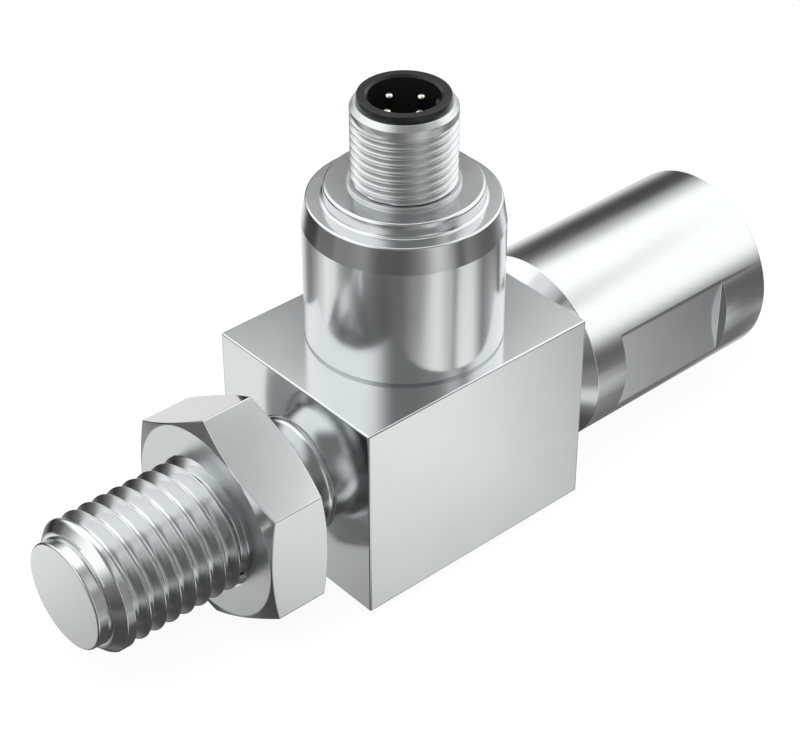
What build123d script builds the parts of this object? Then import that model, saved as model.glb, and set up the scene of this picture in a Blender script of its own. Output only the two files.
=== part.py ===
from build123d import *

import os
from math import cos, pi, radians, sin, tan

# Inline force sensor for pull and push loads, in millimetres.
# The origin is the centre of the block's flat underside, +X runs along the load axis towards the
# tapped end and +Z runs up through the round connector.

# Block, the middle of the load body
BLOCK_LENGTH = 33.2
BLOCK_WIDTH = 26.0
BLOCK_HEIGHT = 25.4
BLOCK_EDGE = 0.2

# Threaded stud, M16 x 2, cut on the same bar as the block
STUD_REACH = 32.1
STUD_D = 16.0
STUD_PITCH_D = 14.7
STUD_ROOT_D = 13.4
STUD_PITCH = 2.0
STUD_CREST_FLAT = 0.12
THREAD_ANGLE = 60.0
STUD_LEAD = 1.1
STUD_FIRST_LAND = 0.75
STUD_SHOULDER_D = 13.8
PILOT_D = 12.8
PILOT_LENGTH = 1.6
PILOT_EDGE = 0.25
NECK_D = 13.2
NECK_LENGTH = 3.6
NECK_RUNOUT = 0.8
NECK_FILLET = 0.6
JOINED_DEPTH = 1.0

# Tapped end, M16 x 2, at the other side of the block
FEMALE_REACH = 33.8
FEMALE_D = 24.4
FEMALE_EDGE = 0.15
SHOULDER_LENGTH = 3.8
SHOULDER_ROOT_D = 16.8
FLATS_WIDTH = 22.0
FLATS_LENGTH = 18.0
FLATS_FROM_SHOULDER = 4.8
TAP_DRILL_D = 14.0
TAP_DEPTH = 25.0
TAP_MOUTH_D = 16.6
DRILL_POINT_ANGLE = 118.0

# Lock nut, thin pattern
NUT_ACROSS_FLATS = 24.0
NUT_HEIGHT = 8.0
NUT_FACE_D = 23.5
NUT_CHAMFER_ANGLE = 20.0
NUT_TO_BLOCK = 5.15
NUT_COUNTERSINK_D = 16.6
THREAD_PLAY = 0.05
NUT_CREST_GAP = 0.1

# Housing turret on top of the block
HOUSING_D = 23.0
HOUSING_TOP_D = 22.0
HOUSING_STRAIGHT = 14.8
HOUSING_TAPER = 3.1
HOUSING_BEVEL = 0.3
HOUSING_EDGE = 0.25
HOUSING_WALL = 1.6
HOUSING_ROOF = 2.0
HOUSING_FLOOR = 1.2
RING_D = 18.1
RING_HEIGHT = 1.8
RING_FILLET = 0.4
RING_EDGE = 0.35
SPIGOT_D = 17.8
SPIGOT_LENGTH = 2.0
SPIGOT_WALL = 1.5

# Connector shell, M12 x 1
SHELL_D = 12.0
SHELL_HEIGHT = 10.1
SHELL_MOUTH_D = 11.1
SHELL_CHAMFER = 0.65
SHELL_BORE_D = 9.9
SHELL_COUNTERBORE = 1.1
SHELL_FOOT_D = 12.76
SHELL_FOOT_HEIGHT = 0.35
SHELL_ROOT_D = 10.9
SHELL_ROOT_BELOW_ROOF = 0.8

# Contact carrier, moulded
CARRIER_PROUD = 0.8
CARRIER_COLLAR_D = 10.4
CARRIER_LIP = 0.25
CAVITY_D = 8.0
CAVITY_DEPTH = 9.2
CARRIER_BELOW_ROOT = 0.9
KEY_WIDTH = 1.1
KEY_DEPTH = 0.6
KEY_BELOW_RIM = 0.8
KEY_ANGLE = -45.0

# Contact pins
PIN_COUNT = 4
PIN_CIRCLE_D = 5.0
PIN_D = 1.0
PIN_TIP_ROUND = 0.35
PIN_BELOW_RIM = 1.1
PIN_BARREL_D = 1.5
PIN_BARREL_ABOVE_ROOT = 4.2
PIN_BARREL_OUT = 1.5
CUP_D = 0.86
CUP_DEPTH = 1.4

# Sealing rings, as they sit squeezed in their places
SEAL_HEIGHT = 1.1
SEAL_CORNER = 0.3
CARRIER_SEAL_DEPTH = 0.6
SHELL_SEAL_DEPTH = 0.7
CARRIER_SEAL_ABOVE_ROOT = 1.6
SHELL_SEAL_ABOVE_ROOF = 1.2

# Sensing cell in the bore across the load axis
CELL_D = 12.0
CELL_HEIGHT = 4.4
CELL_MEMBRANE = 0.6
CELL_CHAMBER_D = 7.4
CELL_CHAMBER_ROUND = 0.5
CELL_RECESS_DEPTH = 0.5
CELL_RECESS_D = 10.6
RELIEF_BORE_D = 8.4
RELIEF_DEPTH = 4.5
GAUGE_SIDE = 5.2
GAUGE_THICKNESS = 0.1
GAUGE_CORNER = 0.4

# Bonding board round the gauge, and its short leads
BONDING_THICKNESS = 0.8
BONDING_WINDOW = 6.4
LEAD_D = 0.25
LEAD_RISE = 1.0
LEAD_ROWS = (-1.6, 0.7)
LEAD_ON_GAUGE = 0.5
LEAD_ON_BOARD = 0.75

# Ribbon from the bonding board to the amplifier board
RIBBON_WIDTH = 4.0
RIBBON_THICKNESS = 0.2
RIBBON_FOOT = 2.7
RIBBON_X = 2.5
RIBBON_SWAY = 2.0
RIBBON_IN_SOCKET = 0.8

# Amplifier board and what carries it
BOARD_THICKNESS = 1.0
SPACER_HEIGHT = 4.4
SPACER_WALL = 1.1
SPACER_GAPS = 3
SPACER_GAP_WIDTH = 3.0
SLEEVE_WALL = 0.5
AMPLIFIER_SIDE = 5.0
AMPLIFIER_HEIGHT = 1.2
AMPLIFIER_TERMINALS = 6
TERMINAL_WIDTH = 0.4
TERMINAL_REACH = 0.5
TERMINAL_THICKNESS = 0.25
REGULATOR_SIZE = (3.0, 2.6, 1.1)
CAPACITOR_SIZE = (2.0, 1.25, 1.25)
RESISTOR_SIZE = (1.6, 0.8, 0.5)
COMPONENT_SPACING = 1.9
COMPONENT_RADIUS = 6.4
SOCKET_SIZE = (2.2, 5.6, 1.5)

# Lead wires from the pins' solder cups to the amplifier board
WIRE_D = 0.7
WIRE_PAD_RADIUS = 6.6
WIRE_DROP = 1.9
WIRE_STUB = 0.4

# Play between pieces that are pushed together
PUSH_FIT = 0.02
BOARD_PLAY = 0.1

# Heights and stations that follow from the sizes above
load_z = BLOCK_HEIGHT / 2
block_left = -BLOCK_LENGTH / 2
block_right = BLOCK_LENGTH / 2
tip_x = block_left - STUD_REACH
thread_start_x = tip_x + PILOT_LENGTH + STUD_LEAD
neck_front_x = block_left - NECK_LENGTH
nut_back_x = block_left - NUT_TO_BLOCK
nut_front_x = nut_back_x - NUT_HEIGHT
female_end_x = block_right + FEMALE_REACH
flats_x = block_right + SHOULDER_LENGTH + FLATS_FROM_SHOULDER

taper_z = BLOCK_HEIGHT + HOUSING_STRAIGHT
turret_z = taper_z + HOUSING_TAPER
ring_z = turret_z + RING_HEIGHT
roof_z = turret_z - HOUSING_ROOF
ledge_z = BLOCK_HEIGHT + HOUSING_FLOOR
cavity_r = HOUSING_D / 2 - HOUSING_WALL
spigot_bore_r = SPIGOT_D / 2 - SPIGOT_WALL

shell_top_z = ring_z + SHELL_HEIGHT
shell_root_z = roof_z - SHELL_ROOT_BELOW_ROOF
rim_z = shell_top_z + CARRIER_PROUD
collar_z = shell_top_z - SHELL_COUNTERBORE
cavity_floor_z = rim_z - CAVITY_DEPTH
carrier_bottom_z = shell_root_z - CARRIER_BELOW_ROOT
barrel_top_z = shell_root_z + PIN_BARREL_ABOVE_ROOT
cup_z = carrier_bottom_z - PIN_BARREL_OUT
carrier_r = SHELL_BORE_D / 2 - PUSH_FIT

cell_floor_z = load_z - CELL_HEIGHT / 2
cell_top_z = cell_floor_z + CELL_HEIGHT
membrane_z = cell_top_z - CELL_RECESS_DEPTH
gauge_z = membrane_z + GAUGE_THICKNESS
bonding_z = cell_top_z + BONDING_THICKNESS
bonding_r = CELL_D / 2 - BOARD_PLAY

board_z = ledge_z + SPACER_HEIGHT
board_top_z = board_z + BOARD_THICKNESS
board_r = cavity_r - BOARD_PLAY


def lathe(outline, axis, rounds=()):
    """Turns a closed outline of (along, radius) about the load axis, or of (radius, height) about Z.

    Each entry of rounds is a corner of the outline and the radius that it gets.
    """
    on_load_axis = axis == Axis.X
    section = make_face(Polyline(*[(a, 0, b) for a, b in outline], close=True))
    for (a, b), radius in rounds:
        corner = section.vertices().sort_by_distance((a, 0, b))[0]
        section = fillet(corner, radius)
    turned = revolve(section, axis)
    return Pos(0, 0, load_z) * turned if on_load_axis else turned


def ring_place(radius, angle, height=0.0):
    """A place at an angle, in degrees, on a circle about the connector's axis."""
    return Pos(radius * cos(radians(angle)), radius * sin(radians(angle)), height)


def bend_radii(points, share=0.45):
    """The largest arc that fits each corner of a route, as a share of its shorter run."""
    vectors = [Vector(*p) for p in points]
    radii = []
    for before, corner, after in zip(vectors, vectors[1:], vectors[2:]):
        run_in, run_out = corner - before, after - corner
        half_turn = radians(run_in.get_angle(run_out)) / 2
        radii.append(share * min(run_in.length, run_out.length) / tan(half_turn))
    return radii


def round_wire(points, diameter):
    """A round wire along a route of straight runs joined by tangent arcs."""
    route = FilletPolyline(*points, radius=bend_radii(points))
    return sweep(Plane(route @ 0, z_dir=route % 0) * Circle(diameter / 2), path=route)


def thread_ridges():
    """The outline of the thread's crests in front of the lock nut, as rings one pitch apart."""
    crest_r, root_r, pitch_r = STUD_D / 2, STUD_ROOT_D / 2, STUD_PITCH_D / 2
    slope = tan(radians(THREAD_ANGLE / 2))
    flank = (crest_r - root_r) * slope
    first_x = thread_start_x + STUD_FIRST_LAND
    room = nut_front_x - NUT_CREST_GAP - first_x - STUD_CREST_FLAT
    last = int(room / STUD_PITCH)
    points = [(thread_start_x, crest_r), (first_x + STUD_CREST_FLAT, crest_r)]
    for k in range(1, last + 1):
        x = first_x + k * STUD_PITCH
        points += [(x - STUD_PITCH + STUD_CREST_FLAT + flank, root_r), (x - flank, root_r)]
        points += [(x, crest_r), (x + STUD_CREST_FLAT, crest_r)]
    return points + [(points[-1][0] + (crest_r - pitch_r) * slope, pitch_r)]


def stud():
    """The pilot, the threaded stud and its relief neck, with the thread's crests as plain rings.

    From the lock nut on, the wall stands on the pitch line, where the two threads bear on each other.
    """
    runout_x = neck_front_x - NECK_RUNOUT
    foot_r = NECK_D / 2 + 2 * NECK_FILLET
    outline = [
        (tip_x, 0),
        (tip_x, PILOT_D / 2),
        (tip_x + PILOT_LENGTH, PILOT_D / 2),
        (tip_x + PILOT_LENGTH, STUD_SHOULDER_D / 2),
        *thread_ridges(),
        (runout_x, STUD_PITCH_D / 2),
        (neck_front_x, NECK_D / 2),
        (block_left, NECK_D / 2),
        (block_left, foot_r),
        (block_left + JOINED_DEPTH, foot_r),
        (block_left + JOINED_DEPTH, 0),
    ]
    rounds = [((tip_x, PILOT_D / 2), PILOT_EDGE), ((block_left, NECK_D / 2), NECK_FILLET)]
    return lathe(outline, Axis.X, rounds)


def tapped_end():
    """The round end with its conical shoulder and two spanner flats, not yet drilled."""
    shoulder_x = block_right + SHOULDER_LENGTH
    outline = [
        (block_right - JOINED_DEPTH, 0),
        (block_right - JOINED_DEPTH, SHOULDER_ROOT_D / 2),
        (block_right, SHOULDER_ROOT_D / 2),
        (shoulder_x, FEMALE_D / 2),
        (female_end_x, FEMALE_D / 2),
        (female_end_x, 0),
    ]
    end = lathe(outline, Axis.X, [((female_end_x, FEMALE_D / 2), FEMALE_EDGE)])
    slab = FEMALE_D - FLATS_WIDTH
    for side in (-1, 1):
        cut = Box(FLATS_LENGTH, slab, 2 * FEMALE_D, align=(Align.MIN, Align.CENTER, Align.CENTER))
        end -= Pos(flats_x, side * (FLATS_WIDTH + slab) / 2, load_z) * cut
    return end


def tapped_hole():
    """The space of the blind tapped hole, on its tap drill, with a countersunk mouth and a drill point."""
    bottom_x = female_end_x - TAP_DEPTH
    mouth_depth = (TAP_MOUTH_D - TAP_DRILL_D) / 2
    point = TAP_DRILL_D / 2 / tan(radians(DRILL_POINT_ANGLE / 2))
    outline = [
        (bottom_x - point, 0),
        (bottom_x, TAP_DRILL_D / 2),
        (female_end_x - mouth_depth, TAP_DRILL_D / 2),
        (female_end_x, TAP_MOUTH_D / 2),
        (female_end_x, 0),
    ]
    return lathe(outline, Axis.X)


def cell_bore():
    """The stepped bore from the block's top, for the housing's spigot, the sensing cell and its relief."""
    pocket_z = BLOCK_HEIGHT - SPIGOT_LENGTH - PUSH_FIT
    outline = [
        (0, cell_floor_z - RELIEF_DEPTH),
        (RELIEF_BORE_D / 2, cell_floor_z - RELIEF_DEPTH),
        (RELIEF_BORE_D / 2, cell_floor_z),
        (CELL_D / 2 + PUSH_FIT, cell_floor_z),
        (CELL_D / 2 + PUSH_FIT, pocket_z),
        (SPIGOT_D / 2 + PUSH_FIT, pocket_z),
        (SPIGOT_D / 2 + PUSH_FIT, BLOCK_HEIGHT),
        (0, BLOCK_HEIGHT),
    ]
    return lathe(outline, Axis.Z)


def load_body():
    """The bar that carries the force: stud, block and tapped end in one machined piece."""
    block = Box(BLOCK_LENGTH, BLOCK_WIDTH, BLOCK_HEIGHT, align=(Align.CENTER, Align.CENTER, Align.MIN))
    block = chamfer(block.edges(), BLOCK_EDGE)
    return block + stud() + tapped_end() - tapped_hole() - cell_bore()


def lock_nut():
    """A thin hexagon nut, chamfered on both faces, with one corner up and a bore on the pitch line."""
    half_corner = NUT_ACROSS_FLATS / 2 / cos(pi / 6)
    drop = (half_corner - NUT_FACE_D / 2) * tan(radians(NUT_CHAMFER_ANGLE))
    bore_r = STUD_PITCH_D / 2 + THREAD_PLAY
    sink = (NUT_COUNTERSINK_D / 2 - bore_r) * tan(radians(30))
    hexagon = RegularPolygon(NUT_ACROSS_FLATS / 2, 6, major_radius=False, rotation=30)
    prism = Plane(origin=(nut_front_x, 0, load_z), x_dir=(0, 1, 0), z_dir=(1, 0, 0)) * hexagon
    turned = lathe(
        [
            (nut_front_x, bore_r + sink / tan(radians(30))),
            (nut_front_x, NUT_FACE_D / 2),
            (nut_front_x + drop, half_corner),
            (nut_back_x - drop, half_corner),
            (nut_back_x, NUT_FACE_D / 2),
            (nut_back_x, bore_r + sink / tan(radians(30))),
            (nut_back_x - sink, bore_r),
            (nut_front_x + sink, bore_r),
        ],
        Axis.X,
    )
    return extrude(prism, NUT_HEIGHT) & turned


def sensor_housing():
    """The turret over the bore: a turned cup with a tapered brow, a filleted ring and a spigot below."""
    bore_r = SHELL_ROOT_D / 2 + PUSH_FIT
    seal_z = roof_z + SHELL_SEAL_ABOVE_ROOF
    outline = [
        (spigot_bore_r, BLOCK_HEIGHT - SPIGOT_LENGTH),
        (SPIGOT_D / 2, BLOCK_HEIGHT - SPIGOT_LENGTH),
        (SPIGOT_D / 2, BLOCK_HEIGHT),
        (HOUSING_D / 2 - HOUSING_BEVEL, BLOCK_HEIGHT),
        (HOUSING_D / 2, BLOCK_HEIGHT + HOUSING_BEVEL),
        (HOUSING_D / 2, taper_z),
        (HOUSING_TOP_D / 2, turret_z - HOUSING_EDGE),
        (HOUSING_TOP_D / 2 - HOUSING_EDGE, turret_z),
        (RING_D / 2, turret_z),
        (RING_D / 2, ring_z - RING_EDGE),
        (RING_D / 2 - RING_EDGE, ring_z),
        (bore_r, ring_z),
        (bore_r, seal_z + SEAL_HEIGHT),
        (SHELL_ROOT_D / 2 + SHELL_SEAL_DEPTH, seal_z + SEAL_HEIGHT),
        (SHELL_ROOT_D / 2 + SHELL_SEAL_DEPTH, seal_z),
        (bore_r, seal_z),
        (bore_r, roof_z),
        (cavity_r, roof_z),
        (cavity_r, ledge_z),
        (spigot_bore_r, ledge_z),
    ]
    return lathe(outline, Axis.Z, [((RING_D / 2, turret_z), RING_FILLET)])


def connector_shell():
    """The threaded barrel of the connector, with the thread as a plain wall, its foot and its root."""
    foot_z = ring_z + SHELL_FOOT_HEIGHT
    outline = [
        (SHELL_BORE_D / 2, shell_root_z),
        (SHELL_ROOT_D / 2, shell_root_z),
        (SHELL_ROOT_D / 2, ring_z),
        (SHELL_FOOT_D / 2, ring_z),
        (SHELL_FOOT_D / 2, foot_z),
        (SHELL_D / 2, foot_z),
        (SHELL_D / 2, shell_top_z - SHELL_CHAMFER),
        (SHELL_MOUTH_D / 2, shell_top_z),
        (CARRIER_COLLAR_D / 2 + PUSH_FIT, shell_top_z),
        (CARRIER_COLLAR_D / 2 + PUSH_FIT, collar_z),
        (SHELL_BORE_D / 2, collar_z),
    ]
    return lathe(outline, Axis.Z)


def pin_outline(bore=False):
    """The outline of a contact pin, or of the hole that it is pressed into."""
    play = PUSH_FIT if bore else 0.0
    top_z = cavity_floor_z if bore else rim_z - PIN_BELOW_RIM
    bottom_z = carrier_bottom_z if bore else cup_z
    outline = [(0, bottom_z), (PIN_BARREL_D / 2 + play, bottom_z)]
    outline += [(PIN_BARREL_D / 2 + play, barrel_top_z), (PIN_D / 2 + play, barrel_top_z)]
    return outline + [(PIN_D / 2 + play, top_z), (0, top_z)]


def pin_angles():
    """The pins' directions about the connector's axis, from the key round."""
    return [KEY_ANGLE + 180 / PIN_COUNT + 360 / PIN_COUNT * k for k in range(PIN_COUNT)]


def contact_carrier():
    """The moulded insert: a cup with a collar and a coding key, thinner below the step for its seal."""
    collar_r = CARRIER_COLLAR_D / 2
    step_z = shell_root_z + CARRIER_SEAL_ABOVE_ROOT + SEAL_HEIGHT
    outline = [
        (0, carrier_bottom_z),
        (carrier_r - CARRIER_SEAL_DEPTH, carrier_bottom_z),
        (carrier_r - CARRIER_SEAL_DEPTH, step_z),
        (carrier_r, step_z),
        (carrier_r, collar_z),
        (collar_r, collar_z),
        (collar_r, rim_z),
        (CAVITY_D / 2 + CARRIER_LIP, rim_z),
        (CAVITY_D / 2, rim_z - CARRIER_LIP),
        (CAVITY_D / 2, cavity_floor_z),
        (0, cavity_floor_z),
    ]
    carrier = lathe(outline, Axis.Z)
    key_height = CAVITY_DEPTH - KEY_BELOW_RIM
    key = Box(2 * KEY_DEPTH, KEY_WIDTH, key_height, align=(Align.CENTER, Align.CENTER, Align.MIN))
    carrier += ring_place(CAVITY_D / 2, KEY_ANGLE, cavity_floor_z) * Rot(0, 0, KEY_ANGLE) * key
    for angle in pin_angles():
        carrier -= ring_place(PIN_CIRCLE_D / 2, angle) * lathe(pin_outline(bore=True), Axis.Z)
    return carrier


def contact_pin(angle):
    """One turned contact: a round pin with a rounded tip, a thicker barrel and a solder cup below."""
    cup = Cylinder(CUP_D / 2, CUP_DEPTH, align=(Align.CENTER, Align.CENTER, Align.MIN))
    rounds = [((PIN_D / 2, rim_z - PIN_BELOW_RIM), PIN_TIP_ROUND)]
    pin = lathe(pin_outline(), Axis.Z, rounds) - Pos(0, 0, cup_z) * cup
    return ring_place(PIN_CIRCLE_D / 2, angle) * pin


def seal(inner_r, outer_r, bottom_z):
    """A rubber ring squeezed to its place, with rounded corners."""
    top_z = bottom_z + SEAL_HEIGHT
    corners = [(inner_r, bottom_z), (outer_r, bottom_z), (outer_r, top_z), (inner_r, top_z)]
    return lathe(corners, Axis.Z, [(c, min(SEAL_CORNER, (outer_r - inner_r) / 3)) for c in corners])


def carrier_seal():
    """The seal between the contact carrier and the shell's bore."""
    bottom_z = shell_root_z + CARRIER_SEAL_ABOVE_ROOT
    return seal(carrier_r - CARRIER_SEAL_DEPTH, SHELL_BORE_D / 2, bottom_z)


def shell_seal():
    """The seal between the shell's root and the housing."""
    return seal(SHELL_ROOT_D / 2, SHELL_ROOT_D / 2 + SHELL_SEAL_DEPTH, roof_z + SHELL_SEAL_ABOVE_ROOF)


def sensing_cell():
    """The steel cell pressed into the bore at the load axis: a stiff rim and a thin round membrane."""
    chamber_z = membrane_z - CELL_MEMBRANE
    outline = [
        (CELL_CHAMBER_D / 2, cell_floor_z),
        (CELL_D / 2, cell_floor_z),
        (CELL_D / 2, cell_top_z),
        (CELL_RECESS_D / 2, cell_top_z),
        (CELL_RECESS_D / 2, membrane_z),
        (0, membrane_z),
        (0, chamber_z),
        (CELL_CHAMBER_D / 2, chamber_z),
    ]
    return lathe(outline, Axis.Z, [((CELL_CHAMBER_D / 2, chamber_z), CELL_CHAMBER_ROUND)])


def strain_gauge():
    """The strain gauge foil with its full bridge, bonded on the membrane."""
    foil = RectangleRounded(GAUGE_SIDE, GAUGE_SIDE, GAUGE_CORNER)
    return extrude(Pos(0, 0, membrane_z) * foil, GAUGE_THICKNESS)


def bonding_board():
    """The ring board on the cell's rim, with a window over the gauge."""
    board = Circle(bonding_r) - Rectangle(BONDING_WINDOW, BONDING_WINDOW)
    return extrude(Pos(0, 0, cell_top_z) * board, BONDING_THICKNESS)


def gauge_leads():
    """Four short leads from the gauge's tabs over the window's edge to the bonding board."""
    on_gauge = GAUGE_SIDE / 2 - LEAD_ON_GAUGE
    on_board = BONDING_WINDOW / 2 + LEAD_ON_BOARD
    top_z = bonding_z + LEAD_RISE
    leads = []
    for x in LEAD_ROWS:
        for side in (-1, 1):
            route = [
                (x, side * on_gauge, gauge_z),
                (x, side * on_gauge, top_z),
                (x, side * on_board, top_z),
                (x, side * on_board, bonding_z),
            ]
            leads.append(round_wire(route, LEAD_D))
    return Compound(children=leads)


def bridge_ribbon():
    """The flat ribbon that lies on the bonding board and rises with one slack bend to its socket."""
    foot_z = bonding_z + RIBBON_THICKNESS / 2
    end_z = board_z - SOCKET_SIZE[2] + RIBBON_IN_SOCKET
    rise = end_z - foot_z
    route = [
        (RIBBON_X + RIBBON_FOOT, 0, foot_z),
        (RIBBON_X, 0, foot_z),
        (RIBBON_X, 0, foot_z + 0.3 * rise),
        (RIBBON_X - RIBBON_SWAY, 0, foot_z + 0.5 * rise),
        (RIBBON_X, 0, foot_z + 0.7 * rise),
        (RIBBON_X, 0, end_z),
    ]
    path = FilletPolyline(*route, radius=bend_radii(route))
    strip = Plane(path @ 0, x_dir=(0, 1, 0), z_dir=path % 0) * Rectangle(RIBBON_WIDTH, RIBBON_THICKNESS)
    return sweep(strip, path=path)


def ribbon_socket():
    """The socket under the amplifier board that the ribbon is pushed into."""
    length, width, height = SOCKET_SIZE
    body = Box(length, width, height, align=(Align.CENTER, Align.CENTER, Align.MAX))
    slot = Box(
        RIBBON_THICKNESS + 2 * PUSH_FIT,
        RIBBON_WIDTH + 2 * PUSH_FIT,
        RIBBON_IN_SOCKET + PUSH_FIT,
        align=(Align.CENTER, Align.CENTER, Align.MIN),
    )
    return Pos(RIBBON_X, 0, board_z) * (body - Pos(0, 0, -height) * slot)


def board_spacer():
    """The insulating ring that stands on the housing's ledge and carries the amplifier board."""
    ring = Circle(board_r) - Circle(board_r - SPACER_WALL)
    spacer = extrude(Pos(0, 0, ledge_z) * ring, SPACER_HEIGHT)
    gap = Box(2 * SPACER_WALL, SPACER_GAP_WIDTH, SPACER_HEIGHT, align=(Align.CENTER, Align.CENTER, Align.MIN))
    for k in range(SPACER_GAPS):
        angle = 60 + 360 / SPACER_GAPS * k
        place = ring_place(board_r - SPACER_WALL / 2, angle, ledge_z + SPACER_HEIGHT / 2)
        spacer -= place * Rot(0, 0, angle) * gap
    return spacer


def amplifier_board():
    """The round board between the spacer and the sleeve, with a hole for each lead wire."""
    board = Circle(board_r)
    for angle in pin_angles():
        board -= ring_place(WIRE_PAD_RADIUS, angle) * Circle(WIRE_D / 2 + PUSH_FIT)
    return extrude(Pos(0, 0, board_z) * board, BOARD_THICKNESS)


def insulating_sleeve():
    """The thin tube that lines the housing above the board and holds the board down."""
    wall = Circle(board_r) - Circle(board_r - SLEEVE_WALL)
    return extrude(Pos(0, 0, board_top_z) * wall, roof_z - board_top_z)


def chip(length, width, height, terminals):
    """A moulded chip on its terminals, which stand out on two sides and reach the board."""
    lift = TERMINAL_THICKNESS
    body = Box(length, width, height - lift, align=(Align.CENTER, Align.CENTER, Align.MIN))
    body = chamfer(body.faces().sort_by(Axis.Z)[-1].edges(), 0.15)
    part = Pos(0, 0, lift) * body
    pitch = length / terminals
    leg = Box(TERMINAL_WIDTH, width + 2 * TERMINAL_REACH, lift, align=(Align.CENTER, Align.CENTER, Align.MIN))
    for k in range(terminals):
        part += Pos((k + 0.5) * pitch - length / 2, 0, 0) * leg
    return part


def amplifier_chip():
    """The amplifier in the middle of the board."""
    body = chip(AMPLIFIER_SIDE, AMPLIFIER_SIDE, AMPLIFIER_HEIGHT, AMPLIFIER_TERMINALS)
    return Pos(0, 0, board_top_z) * body


def component_spot(angle):
    """A place on the board's top, off the lead wires, turned to face the middle."""
    return ring_place(COMPONENT_RADIUS, angle, board_top_z) * Rot(0, 0, angle + 90)


def regulator_chip():
    """The voltage regulator beside the amplifier."""
    length, width, height = REGULATOR_SIZE
    return component_spot(45) * chip(length, width, height, 3)


def small_parts(size, angle, count):
    """A row of like two-ended components beside one another."""
    body = Box(*size, align=(Align.CENTER, Align.CENTER, Align.MIN))
    body = chamfer(body.edges().filter_by(Axis.Y), 0.1)
    places = [Pos(0, (k - (count - 1) / 2) * COMPONENT_SPACING, 0) for k in range(count)]
    return [component_spot(angle) * place * body for place in places]


def board_capacitors():
    """The filter capacitors, in two rows."""
    return Compound(children=small_parts(CAPACITOR_SIZE, 135, 2) + small_parts(CAPACITOR_SIZE, 225, 2))


def board_resistors():
    """The gain resistors, in one row."""
    return Compound(children=small_parts(RESISTOR_SIZE, 315, 3))


def lead_wire(angle):
    """One wire from a pin's solder cup out and down through its hole in the amplifier board."""
    pin_r = PIN_CIRCLE_D / 2
    start_z = cup_z + CUP_DEPTH
    stations = [
        (pin_r, start_z),
        (pin_r, cup_z - WIRE_DROP),
        (WIRE_PAD_RADIUS, board_top_z + WIRE_DROP),
        (WIRE_PAD_RADIUS, board_z - WIRE_STUB),
    ]
    along = Vector(cos(radians(angle)), sin(radians(angle)))
    return round_wire([(along.X * r, along.Y * r, z) for r, z in stations], WIRE_D)


def sub_parts():
    """Every piece of the sensor under the name of its node."""
    parts = {
        "load_body": load_body(),
        "lock_nut": lock_nut(),
        "sensor_housing": sensor_housing(),
        "connector_shell": connector_shell(),
        "contact_carrier": contact_carrier(),
        "carrier_seal": carrier_seal(),
        "shell_seal": shell_seal(),
        "sensing_cell": sensing_cell(),
        "strain_gauge": strain_gauge(),
        "bonding_board": bonding_board(),
        "gauge_leads": gauge_leads(),
        "bridge_ribbon": bridge_ribbon(),
        "ribbon_socket": ribbon_socket(),
        "board_spacer": board_spacer(),
        "amplifier_board": amplifier_board(),
        "insulating_sleeve": insulating_sleeve(),
        "amplifier_chip": amplifier_chip(),
        "regulator_chip": regulator_chip(),
        "board_capacitors": board_capacitors(),
        "board_resistors": board_resistors(),
    }
    for number, angle in enumerate(pin_angles(), 1):
        parts[f"contact_pin_{number}"] = contact_pin(angle)
        parts[f"lead_wire_{number}"] = lead_wire(angle)
    return parts


os.makedirs("parts", exist_ok=True)
for name, shape in sub_parts().items():
    export_step(shape, f"parts/{name}.step")
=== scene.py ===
"""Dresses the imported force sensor: broken edges, threads, finishes, studio and camera.

Sizes are written in millimetres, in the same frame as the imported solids, and become metres where a
mesh, a lamp or the camera is made. WELD is the distance within which points become one, and OVERRUN
how far a cutter or a hidden foot runs past the face that it starts from.
"""

import logging
import math
from collections.abc import Sequence
from dataclasses import dataclass, field, fields
from enum import Enum

import bmesh
import bpy
from mathutils import Matrix, Vector

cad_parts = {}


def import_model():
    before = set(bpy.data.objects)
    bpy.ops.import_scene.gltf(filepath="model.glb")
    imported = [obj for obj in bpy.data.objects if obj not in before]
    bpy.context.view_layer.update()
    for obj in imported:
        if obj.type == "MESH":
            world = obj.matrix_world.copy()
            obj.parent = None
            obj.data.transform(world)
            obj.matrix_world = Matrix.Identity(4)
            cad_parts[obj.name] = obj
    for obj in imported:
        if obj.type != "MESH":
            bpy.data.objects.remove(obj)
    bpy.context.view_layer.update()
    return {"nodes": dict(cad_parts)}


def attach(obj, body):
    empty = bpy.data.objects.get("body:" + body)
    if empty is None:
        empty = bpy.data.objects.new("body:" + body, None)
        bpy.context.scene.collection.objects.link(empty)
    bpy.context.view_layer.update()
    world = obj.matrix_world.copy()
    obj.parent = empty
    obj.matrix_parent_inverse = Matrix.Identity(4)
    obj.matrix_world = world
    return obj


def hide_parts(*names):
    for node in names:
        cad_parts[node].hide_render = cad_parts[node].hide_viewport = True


MM = 0.001
WELD = 0.0015
OVERRUN = 1.0
LOG = logging.getLogger("force_sensor")

Socket = bpy.types.NodeSocket
Form = bmesh.types.BMesh
Value = float | int | bool | tuple | Socket | bpy.types.Material
Spot = tuple[float, float]
Ring = tuple[float | Sequence[float], float | Sequence[float]]


class Body(str, Enum):
    """The bodies that a piece can ride on."""

    SENSOR = "sensor"
    LOCK_NUT = "lock_nut"


class Slot(str, Enum):
    """Names of the record's material slots, one passed with each new piece."""

    MACHINED_STEEL = "machined_steel"
    NUT_STEEL = "nut_steel"
    TURNED_STEEL = "turned_steel"
    SHELL_STEEL = "shell_steel"
    BLACK_MOULDING = "black_moulding"
    GOLD_CONTACT = "gold_contact"


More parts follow.
